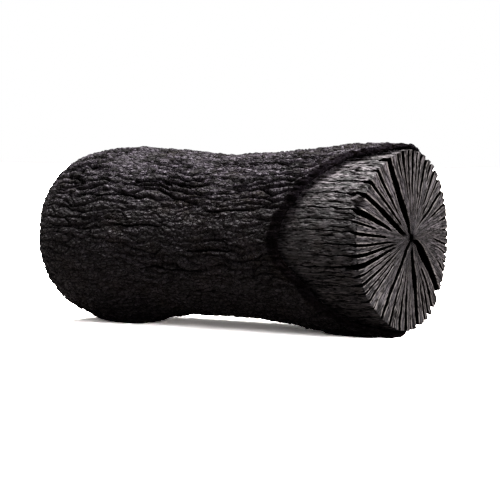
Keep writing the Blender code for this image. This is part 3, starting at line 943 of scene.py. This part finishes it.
@dataclass
class WoodCore:
    """The wood: a log with both end faces split along the rays, and cracks that run on down its side."""

    form: LogForm
    finish: CharredWood
    pith_offset: tuple[float, float] = (2.4 * MM, 0.9 * MM)
    pith_depth: float = 5.0 * MM
    pith_share: float = 0.1
    least_radius: float = 0.5 * MM
    sharp_rim: float = 0.7 * MM
    worn_rim: float = 7.0 * MM
    worn_rim_angle: float = math.radians(177)
    worn_rim_spread: float = math.radians(34)
    worn_back: float = 3.6 * MM
    worn_back_spread: float = math.radians(58)
    far_rim: float = 4.0 * MM
    broken_rim: float = 0.5 * MM
    broken_rim_reach: float = 6.0 * MM
    broken_rim_from: float = 0.6
    broken_rim_angles: tuple[float, float] = (math.radians(280), math.radians(322))
    # Where the wedges' tips have spread: degrees, half the width in degrees, and how far
    spread_rim: tuple[tuple[float, float, float], ...] = ((304, 20, 1.7 * MM), (48, 18, 0.9 * MM))

    # The widest splits push the others aside, and the main one bends on its way out
    wide_split: float = 1.15 * MM
    most_push: float = 0.4
    push_reach: float = math.radians(75)
    bend: float = math.radians(11)
    bend_at: tuple[float, float] = (math.radians(316), math.radians(36))

    split_depth_back: tuple[float, float] = (4.0 * MM, 2.8)
    split_depth_in: tuple[float, float] = (2.2 * MM, 2.0)
    split_opens_over: float = 0.10
    split_inner_width: tuple[float, float] = (0.45, 1.5)
    split_widened: float = 1.4
    split_side_width: float = 0.36
    split_narrows_over: float = 7.0 * MM
    shallow_rim: float = 0.92
    shallow_from: tuple[float, float] = (math.radians(14), math.radians(48))
    shallow_share: tuple[float, float] = (0.78, 0.2)
    split_run: tuple[float, float] = (14.0 * MM, 32.0 * MM)
    split_run_per_width: float = 9.0
    split_wander: float = math.radians(2.2)
    split_wander_waves: tuple[int, int] = (3, 5)
    least_split: float = 0.06
    most_split: tuple[float, float] = (0.34, 0.58)
    wedge_step: float = 0.5 * MM
    wedge_step_over: float = 4.0 * MM
    wedge_tones: tuple[float, float] = (0.4, 0.95)
    # Painted shade on the lower wedges of the face
    painted_shade_below: float = 0.15
    far_shift: float = 0.02
    far_inner: tuple[float, ...] = (0.05, 0.2, 0.35, 0.5, 0.7)
    far_width: tuple[float, float] = (0.7 * MM, 2.0 * MM)
    far_longest: float = 1.3

    # Columns over one split and the wedge after it: the walls' places and depths, and how many on the wedge
    wall_places: tuple[float, ...] = (-1.0, -0.95, -0.7, 0.0, 0.7, 0.95, 1.0)
    wall_depths: tuple[float, ...] = (0.0, 0.03, 0.75, 1.0, 0.75, 0.03, 0.0)
    wall_shades: tuple[float, ...] = (0.0, 1.0, 1.0, 1.0, 1.0, 1.0, 0.0)
    wedge_columns: int = 9
    face_rings: int = 52
    side_rings: int = 63
    side_reach: float = 50.0 * MM
    hidden_x: tuple[float, ...] = (26.0, 10.0, -6.0, -22.0, -38.0, -55.0)
    far_side_rings: tuple[float, ...] = (16.0, 9.0, 6.0, 4.0, 2.5, 1.0)
    far_face_rings: int = 15
    far_step: int = 2
    hidden_step: int = 4
    hidden_sunk: float = 0.2 * MM
    face_spacing: float = 0.85
    side_spacing: float = 1.25

    # Relief of the faces and of the side that the bark leaves bare
    face_turns_over: float = 1.5 * MM
    sawn: Clouds = Clouds(14 * MM, 9 * MM, 51)
    sawn_height: float = 0.5 * MM
    rays: tuple[Clouds, Clouds] = (Clouds(2.1 * MM, 7 * MM, 52), Clouds(0.95 * MM, 4 * MM, 53))
    ray_heights: tuple[float, float] = (0.32 * MM, 0.16 * MM)
    ray_at_pith: float = 0.25
    side_lumps: tuple[Clouds, Clouds, Clouds] = (
        Clouds(6.5 * MM, 15 * MM, 54), Clouds(2.4 * MM, 8 * MM, 55), Clouds(1.0 * MM, 3.2 * MM, 56)
    )
    side_heights: tuple[float, float, float] = (0.5 * MM, 0.34 * MM, 0.14 * MM)
    side_pits: Cells = Cells(2.2 * MM, 4.5 * MM, 57)
    pit_depth: float = 0.45 * MM
    pit_from: float = 0.72
    pit_slope: float = 0.6 * MM
    side_wander: Clouds = Clouds(5 * MM, 6 * MM, 60)
    side_wander_by: float = 0.55 * MM
    side_wander_from: float = 6.0 * MM
    rubble: Cells = Cells(1.3 * MM, 1.5 * MM, 59)
    rubble_shares: tuple[float, float, float] = (0.55, 0.75, 0.4)
    rubble_gap: float = 0.3 * MM

    # Fine cracks: one or two to a wedge, on these of its columns, give or take one
    crack_seed: int = 61
    crack_pair: tuple[int, int] = (2, 6)
    crack_alone: tuple[int] = (4,)
    pair_chance: float = 0.5
    crack_chance: float = 0.75
    crack_strength: tuple[float, float] = (0.45, 1.0)
    crack_start_mm: tuple[float, float] = (-9.0, 14.0)
    crack_length_mm: tuple[float, float] = (8.0, 34.0)
    crack_ends: tuple[float, float] = (4.0 * MM, 9.0 * MM)
    crack_depth: float = 1.5 * MM
    crack_deeper_in_face: float = 1.2
    chip_ragged: Clouds = Clouds(1.6 * MM, 1.8 * MM, 58)
    chip_ragged_by: float = 0.35
    chip_steep: float = 1.6
    chips: tuple[Chip, ...] = (
        Chip(154, 2.0 * MM, 2.6 * MM, 5.5 * MM, 3.0 * MM), Chip(148, 7.5 * MM, 1.6 * MM, 3.0 * MM, 1.6 * MM),
        Chip(195, 6.5 * MM, 1.5 * MM, 4.2 * MM, 2.4 * MM), Chip(171, 5.0 * MM, 1.1 * MM, 2.2 * MM, 1.2 * MM),
        Chip(228, 2.0 * MM, 1.4 * MM, 2.6 * MM, 1.6 * MM), Chip(318, 2.0 * MM, 1.8 * MM, 3.4 * MM, 2.2 * MM),
    )

    # For the finish: how strong the painted highlight on the lips is, and how much painted shade blackens
    # splits, chips, the pith, the hidden part and the side's lower half
    painted_highlight_strength: float = 0.85
    painted_highlight_beside: float = 0.45
    shade_opens_by: float = 2.5
    chip_shade: float = 0.55 / (3 * MM)
    side_painted_shade: float = 0.3
    pith_painted_shade: float = 0.07
    hidden_shade: float = 0.3
    end_light: tuple[float, float] = (3.0 * MM, 14.0 * MM)
    grain_radius_mm: float = 38.0
    far_grain_mm: float = 400.0
    hidden_grain_mm: float = 100.0

    def __post_init__(self) -> None:
        """Lay out the splits of both ends and the fine cracks."""
        draw = random.Random(SEED)
        rim = float(self.form.core_radius(self.form.near_face_x))
        near = sorted(
            (self.rim_angle(math.radians(way), rim), inner, width * MM) for way, inner, width in SPLITS
        )
        self.angle = np.array([split[0] for split in near])
        self.inner = np.array([split[1] for split in near])
        self.width = np.array([split[2] for split in near])
        count = len(near)
        self.run = np.array([draw.uniform(*self.split_run) for _ in near])
        self.run += self.split_run_per_width * self.width
        self.other_angle = self.angle + np.array([draw.uniform(-1, 1) * self.far_shift for _ in near])
        self.other_inner = np.array([draw.choice(self.far_inner) for _ in near])
        self.other_width = np.array([draw.uniform(*self.far_width) for _ in near])
        self.other_width *= self.far_longest - self.other_inner
        self.step = np.array([draw.uniform(0, self.wedge_step) for _ in near])
        self.tone = np.array([draw.uniform(*self.wedge_tones) for _ in near])
        # Painted shade: wedges lower round the face are darker, as under light from above
        self.tone *= 1 - self.painted_shade_below * (1 - np.sin(self.angle))
        low, high = self.broken_rim_angles
        broken = (self.angle > low) & (self.angle < high)
        self.drop = np.array([draw.uniform(0.0, self.broken_rim) for _ in near]) * broken
        least, most = self.split_inner_width
        from_pith = self.inner <= self.pith_share
        self.inner_width = np.where(from_pith, most, least)
        self.cut = 1 - self.shallow_rim * around(self.angle, *self.shallow_from, 4)
        self.wide = (self.width >= self.wide_split) & from_pith

        # Fine cracks: each lies on one column of a wedge, from a place near the rim back along the side
        rng = np.random.default_rng(self.crack_seed)
        self.crack, self.crack_from, self.crack_to = np.zeros((3, count, self.wedge_columns))
        for row in range(count):
            for at in self.crack_pair if rng.uniform() < self.pair_chance else self.crack_alone:
                column = at + int(rng.integers(-1, 2))
                if rng.uniform() < self.crack_chance:
                    self.crack[row, column] = rng.uniform(*self.crack_strength)
                    self.crack_from[row, column] = rng.uniform(*self.crack_start_mm) * MM
                    length = rng.uniform(*self.crack_length_mm) * MM
                    self.crack_to[row, column] = self.crack_from[row, column] + length

    def rim_angle(self, way: float, rim: float) -> float:
        """Where a ray from the pith meets the rim.

        Args:
            way: the ray's direction.
            rim: the rim's radius.

        Returns:
            The angle of that place round the centre line.
        """
        y, z = self.pith_offset
        along = y * math.cos(way) + z * math.sin(way)
        reach = -along + math.sqrt(along**2 + rim**2 - y**2 - z**2)
        return math.atan2(z + reach * math.sin(way), y + reach * math.cos(way)) % FULL_TURN

    def pushed_aside(self, angle: Array, width: Array, radius: float) -> Array:
        """Make room for the widest splits.

        Args:
            angle: every split's angle.
            width: how wide each is open.
            radius: the distance from the pith where they are.

        Returns:
            The splits' angles once the widest have pushed the others away from them.
        """
        moved = angle.copy()
        for at in np.flatnonzero(self.wide):
            half = min(width[at] / radius / 2, self.most_push)
            away = turned_from(angle, angle[at])
            moved += np.sign(away) * half * np.clip(1 - np.abs(away) / self.push_reach, 0, 1)
        return moved

    def columns(self, angle: Array, width: Array, radius: float) -> Array:
        """Angles of all columns: those over each split, then those on the wedge after it.

        Args:
            angle: every split's angle.
            width: how wide each is open.
            radius: the distance from the pith where they are.

        Returns:
            One row of angles for each split.
        """
        after = np.diff(np.append(angle, angle[0] + FULL_TURN))
        before = np.roll(after, 1)
        half = width / radius / 2
        most = np.where(self.wide, self.most_split[1], self.most_split[0])
        left = np.clip(half, self.least_split * before, most * before)
        right = np.clip(half, self.least_split * after, most * after)
        walls = [angle + place * (left if place < 0 else right) for place in self.wall_places]
        next_lip = np.append((angle - left)[1:], angle[0] - left[0] + FULL_TURN)
        lip = angle + right
        wedge = [
            lip + (next_lip - lip) * (k + 1) / (self.wedge_columns + 1) for k in range(self.wedge_columns)
        ]
        return np.stack(walls + wedge, axis=-1)

    def on_wedges(self, values: Array) -> Array:
        """Lay out one value for each wedge over the columns.

        Args:
            values: the wedges' values.

        Returns:
            One row for each split. The first half of the split has the value of the wedge before it.
        """
        before = len(self.wall_places) // 2
        after = self.wedge_columns + len(self.wall_places) - before
        return np.stack([np.roll(values, 1)] * before + [values] * after, axis=-1)

    def over_split(self, depths: tuple[float, ...]) -> Array:
        """A profile over a split's columns, and nothing on its wedge."""
        return np.array(list(depths) + [0.0] * self.wedge_columns)

    def rim_path(self, reach: float, rounding: Array) -> tuple[Array, Array]:
        """The way over a rounded rim.

        Args:
            reach: the distance from the rim, negative on the face.
            rounding: the rim's radius of rounding in each column.

        Returns:
            How far the points lie inside the side, and how far inside the face.
        """
        phi = (np.clip(reach / rounding, -1, 1) + 1) * math.pi / 4
        inside_side = np.where(reach < -rounding, -reach, rounding * (1 - np.sin(phi)))
        inside_face = np.where(reach > rounding, reach, rounding * (1 - np.cos(phi)))
        return inside_side, inside_face

    def near_rounding(self, theta: Array) -> Array:
        """Radius of the near rim, which is worn away where the bark has broken back furthest."""
        return self.sharp_rim + self.worn_rim * around(theta, self.worn_rim_angle, self.worn_rim_spread)

    def cracked(self, reach: float) -> Array:
        """How deep the fine cracks are in each column, from 0 to 1."""
        opens, closes = self.crack_ends
        grow = ease((reach - self.crack_from) / opens) * ease((self.crack_to - reach) / closes)
        walls = np.zeros((len(self.angle), len(self.wall_places)))
        return np.concatenate([walls, self.crack * grow], axis=-1)

    def chipped(self, theta: Array, reach: float) -> Array:
        """How deep the chips are.

        Args:
            theta: angles round the log.
            reach: the distance back from the rim.

        Returns:
            Their depth in metres at those angles.
        """
        deep = np.zeros(theta.shape)
        ragged = 1 + self.chip_ragged_by * self.chip_ragged.read(theta, np.full(theta.shape, reach))
        for chip in self.chips:
            across = turned_from(theta, math.radians(chip.angle)) * self.grain_radius_mm * MM / chip.across
            along = (reach - chip.reach) / chip.along
            inside = ease(self.chip_steep * (1 - np.hypot(across, along) * ragged))
            deep = np.maximum(deep, chip.depth * inside)
        return deep

    def grain(self, theta: Array, along_mm: float) -> Array:
        """Places round and along the grain in millimetres, for the finish to read."""
        radius = self.grain_radius_mm
        return np.stack([radius * np.cos(theta), radius * np.sin(theta), theta * 0 + along_mm], axis=-1)

    def ring(self, near: bool, reach: float) -> tuple[Array, dict[str, Array]]:
        """One ring of the core.

        Args:
            near: whether it belongs to the near end.
            reach: its distance along the surface from that end's rim, negative on the face.

        Returns:
            Its points, and for each point the values that the finish reads.
        """
        form = self.form
        end_x, inward = (form.near_face_x, -1) if near else (form.far_face_x, 1)
        angle, inner, width = (
            (self.angle, self.inner, self.width) if near
            else (self.other_angle, self.other_inner, self.other_width)
        )
        on_face = reach < 0
        behind = max(reach, 0.0)
        rim = float(form.core_radius(end_x))
        share = min(1 + reach / rim, 1)
        run_out = ease(1 - behind / self.run)
        opened = ease((share - inner) / self.split_opens_over) * run_out
        turns, outward = self.split_wander_waves
        wander = self.split_wander * np.sin(turns * angle + outward * share)
        angle = angle + (wander + self.bend * around(angle, *self.bend_at)) * (1 - share)
        narrowed = 1 - (1 - self.split_side_width) * ease(behind / self.split_narrows_over)
        shown = width * self.split_widened * narrowed * opened
        shown = shown * (self.inner_width + (1 - self.inner_width) * share)
        radius = max(share * rim, self.least_radius)
        theta = self.columns(self.pushed_aside(angle, shown, radius), shown, radius)
        back = np.full(theta.shape, behind)
        strays = self.side_wander.read(theta, back) * self.side_wander_by / rim
        theta = theta + strays * ease(back / self.side_wander_from)

        rounding = self.near_rounding(theta) if near else np.full(theta.shape, self.far_rim)
        inside_side, inside_face = self.rim_path(reach, rounding)
        step = self.on_wedges(self.step) * share * ease(-reach / self.wedge_step_over)
        x = end_x + inward * (inside_face + step)
        surface = form.core_radius(x) - inside_side
        if near:
            worn = self.worn_back * around(theta, self.worn_rim_angle, self.worn_back_spread, 4)
            x = x + inward * worn * ease(share if on_face else 1 - reach / self.side_reach)
            rim_only = ease(1 - behind / self.broken_rim_reach)
            rim_only = rim_only * ease((share - self.broken_rim_from) / (1 - self.broken_rim_from))
            spread = sum(
                far * around(theta, math.radians(way), math.radians(half))
                for way, half, far in self.spread_rim
            )
            surface = surface + (spread - self.on_wedges(self.drop)) * rim_only

        # Relief: rays of fibre on the face, lumps along the grain on the side, cracks and chips
        facing = ease(0.5 - reach / self.face_turns_over)
        out = np.full(theta.shape, share * rim)
        ray = lumps_below(self.rays, self.ray_heights, theta, out)
        ray = ray * (self.ray_at_pith + (1 - self.ray_at_pith) * share)
        sawn = lumps_below((self.sawn,), (self.sawn_height,), theta, out)
        lumps = lumps_below(self.side_lumps, self.side_heights, theta, back)
        pits = self.side_pits.read(theta, back)
        pit = self.pit_depth * (pits.chance > self.pit_from) * ease(pits.border / self.pit_slope)
        crack = self.cracked(reach) if near else np.zeros(theta.shape)
        chip = self.chipped(theta, reach) if near else np.zeros(theta.shape)
        rubble = self.rubble.read(theta, back)
        least, varied, gap = self.rubble_shares
        crumbled = chip * (least + varied * rubble.chance + gap * ease(1 - rubble.border / self.rubble_gap))
        face_crack = crack * self.crack_depth * self.crack_deeper_in_face
        x = x + inward * facing * (ray + sawn + face_crack + crumbled)
        surface = surface - (1 - facing) * (lumps + pit + crack * self.crack_depth + crumbled)

        # The splits' own depth, back from the face and in from the side
        deep = self.over_split(self.wall_depths)
        cut = self.cut if near else 1.0
        at_rim = ease((share - self.shallow_share[0]) / self.shallow_share[1])
        cut_back = (self.split_depth_back[0] + self.split_depth_back[1] * width) * opened * run_out
        cut_back = cut_back * (1 - (1 - cut) * at_rim)
        cut_in = (self.split_depth_in[0] + self.split_depth_in[1] * width) * opened * cut
        x = x + inward * deep * cut_back[:, None]
        surface = surface * (1 - deep * cut_in[:, None] / rim)
        to_pith = np.array([0.0, *self.pith_offset]) * (1 - share) * on_face

        # What the finish reads: how much painted shade, how much painted highlight at a lip, the wedge tone
        # and the painted light from above, and where in the grain
        lips = [float(abs(place) == 1) for place in self.wall_places]
        beside, pale = [self.painted_highlight_beside], self.painted_highlight_strength
        painted_highlight = np.array(lips + beside + [0.0] * (self.wedge_columns - 2) + beside) * opened[:, None]
        dark = self.over_split(self.wall_shades) * ease(self.shade_opens_by * opened)[:, None]
        on_end = ease((self.end_light[0] - reach) / self.end_light[1])
        # Painted shade: the side darkens from the flanks down, and the face blackens round the sunk pith
        painted_side_and_pith_shade = self.side_painted_shade * (1 - on_end) * (1 - painted_top_light_at(theta)) + ease(1.5 - share / self.pith_painted_shade)
        tone_and_painted_top_light = on_end * self.on_wedges(self.tone) + (1 - on_end) * painted_top_light_at(theta)
        along_mm = (rim + reach) / MM + (0 if near else self.far_grain_mm)
        values = {
            "split": np.clip(dark + crack + self.chip_shade * chip + painted_side_and_pith_shade, 0, 1).reshape(-1),
            "painted_highlight": (painted_highlight * pale * facing).reshape(-1),
            "tone_and_painted_top_light": tone_and_painted_top_light.reshape(-1),
            "grain": self.grain(theta, along_mm).reshape(-1, 3),
        }
        return (form.placed(x, surface, theta) + to_pith).reshape(-1, 3), values

    def hidden_ring(self, x: float) -> tuple[Array, dict[str, Array]]:
        """One plain ring under the bark, with a few of the columns.

        Args:
            x: its place along the log.

        Returns:
            Its points, and for each point the values that the finish reads.
        """
        form = self.form
        mix = (x - form.far_face_x) / (form.near_face_x - form.far_face_x)
        angle = self.other_angle * (1 - mix) + self.angle * mix
        theta = self.columns(angle, 0 * angle, float(form.core_radius(x))).reshape(-1)[:: self.hidden_step]
        plain = np.zeros(len(theta))
        grain = self.grain(theta, self.hidden_grain_mm - x / MM)
        # Painted shade under the bark
        values = {"split": plain + self.hidden_shade, "painted_highlight": plain, "tone_and_painted_top_light": plain, "grain": grain}
        radius = form.core_radius(x) - self.hidden_sunk
        return form.placed(np.full(theta.shape, x), radius, theta), values

    def pith(self, end_x: float, inward: int) -> tuple[Array, dict[str, Array]]:
        """The middle point of an end face, sunk where the splits meet.

        Args:
            end_x: the face's place along the log.
            inward: which way along the log leads into the wood, 1 or -1.

        Returns:
            The point, and the values that the finish reads there.
        """
        centre = self.form.placed(np.array([end_x + inward * self.pith_depth]), 0.0, np.array([0.0]))
        none = np.zeros(1)
        # Painted shade: the sunk pith is black
        values = {"split": none + 1, "painted_highlight": none, "tone_and_painted_top_light": none, "grain": self.grain(none, 0.0)}
        return centre + np.array([0.0, *self.pith_offset]), values

    def build(self) -> bpy.types.Object:
        """The wood as one closed mesh."""
        form = self.form
        near_rim = float(form.core_radius(form.near_face_x))
        far_rim = float(form.core_radius(form.far_face_x))
        shares = np.linspace(0.0, 1.0, self.face_rings + 1)[1:] ** self.face_spacing
        backs = np.linspace(0.0, 1.0, self.side_rings + 1)[1:] ** self.side_spacing * self.side_reach
        parts = [self.pith(form.near_face_x, -1)]
        parts += [self.ring(True, (share - 1) * near_rim) for share in shares]
        parts += [self.ring(True, back) for back in backs]
        parts += [self.hidden_ring(x * MM) for x in self.hidden_x]
        parts += [self.every(self.far_step, self.ring(False, back * MM)) for back in self.far_side_rings]
        parts += [
            self.every(self.far_step, self.ring(False, (share - 1) * far_rim))
            for share in np.linspace(1.0, 0.0, self.far_face_rings + 1)[:-1]
        ]
        parts.append(self.pith(form.far_face_x, 1))

        points = np.concatenate([part[0] for part in parts])
        values = {name: np.concatenate([part[1][name] for part in parts]) for name in parts[0][1]}
        counts = [len(part[0]) for part in parts[1:-1]]
        faces = [tuple(point + 1 for point in face) for face in skin(counts, closed=False)]
        far_pith = len(points) - 1
        for j in range(counts[0]):
            faces.append((0, 1 + j, 1 + (j + 1) % counts[0]))
        last = far_pith - counts[-1]
        for j in range(counts[-1]):
            faces.append((last + j, far_pith, last + (j + 1) % counts[-1]))
        return piece_of(Part.WOOD, points, faces, values, self.finish.material())

    @staticmethod
    def every(step: int, ring: tuple[Array, dict[str, Array]]) -> tuple[Array, dict[str, Array]]:
        """A ring thinned by keeping one point in each step."""
        points, values = ring
        return points[::step], {name: value[::step] for name, value in values.items()}


# The studio


@dataclass(frozen=True)
class Camera:
    """A long lens that looks at the log from beyond its near end, a little above it."""

    azimuth: float = math.radians(31)
    elevation: float = math.radians(3.5)
    distance: float = 0.9
    lens: float = 147.74
    sensor: float = 36.0
    target: tuple[float, float, float] = (7.5 * MM, 0.0, 34.5 * MM)

    def build(self) -> bpy.types.Object:
        """The camera, made the scene's own."""
        data = bpy.data.cameras.new("camera")
        data.sensor_width, data.lens = self.sensor, self.lens
        back = Vector((
            math.sin(self.azimuth) * math.cos(self.elevation),
            -math.cos(self.azimuth) * math.cos(self.elevation),
            math.sin(self.elevation),
        ))
        camera = bpy.data.objects.new("camera", data)
        camera.location = Vector(self.target) + back * self.distance
        camera.rotation_euler = back.to_track_quat("Z", "Y").to_euler()
        bpy.context.scene.collection.objects.link(camera)
        bpy.context.scene.camera = camera
        return camera


@dataclass(frozen=True)
class SoftLight:
    """A big soft light a long way off: its direction, how wide it looks, its strength and its colour."""

    name: str
    towards: tuple[float, float, float]
    wide: float
    strength: float
    colour: str

    def build(self) -> bpy.types.Object:
        """The light, shining on the log from its direction."""
        data = bpy.data.lights.new(self.name, "SUN")
        data.energy, data.angle = self.strength, math.radians(self.wide)
        data.color = linear(self.colour)[:3]
        light = bpy.data.objects.new(self.name, data)
        light.rotation_euler = Vector(self.towards).to_track_quat("Z", "Y").to_euler()
        bpy.context.scene.collection.objects.link(light)
        return light


@dataclass(frozen=True)
class Studio:
    """White paper under soft light from above and a little behind, as for a catalogue picture."""

    paper: PaperSweep = PaperSweep()
    floor_size: float = 6.0
    backdrop: str = "#ffffff"
    fill: float = 0.36
    lights: tuple[SoftLight, ...] = (
        SoftLight("top_softbox", (-0.05, 0.07, 1.0), 36, 17.2, "#fffdfb"),
        SoftLight("side_softbox", (1.0, -0.18, 0.42), 46, 4.7, "#fbfaff"),
    )

    def build(self) -> None:
        """Floor, backdrop and lights."""
        half = self.floor_size / 2
        corners = [(-half, -half, 0), (half, -half, 0), (half, half, 0), (-half, half, 0)]
        mesh = bpy.data.meshes.new("floor")
        mesh.from_pydata(corners, [], [(0, 1, 2, 3)])
        mesh.materials.append(self.paper.material())
        floor = bpy.data.objects.new("floor", mesh)
        bpy.context.scene.collection.objects.link(floor)
        for light in self.lights:
            light.build()

        # The backdrop looks white, but lights the log only weakly, as if it hung far behind
        world = bpy.data.worlds.new("studio")
        world.use_nodes = True
        world.node_tree.nodes.clear()
        add = partial(add_node, world.node_tree)
        weak, white = (
            add("Background", {"Color": linear(self.backdrop), "Strength": strength})
            for strength in (self.fill, 1.0)
        )
        seen = add("LightPath", output="Is Camera Ray")
        add("OutputWorld", {"Surface": add("MixShader", {0: seen, 1: weak, 2: white})})
        bpy.context.scene.world = world
        bpy.context.scene.view_settings.view_transform = "Standard"


def main() -> None:
    """Build the camera, the studio and the log."""
    logging.basicConfig(level=logging.INFO, format="%(name)s: %(message)s")
    Camera().build()
    Studio().build()
    form = LogForm()
    for piece in (WoodCore(form, CharredWood()), BarkSleeve(form, CharredBark())):
        piece.build()


if __name__ == "__main__":
    main()
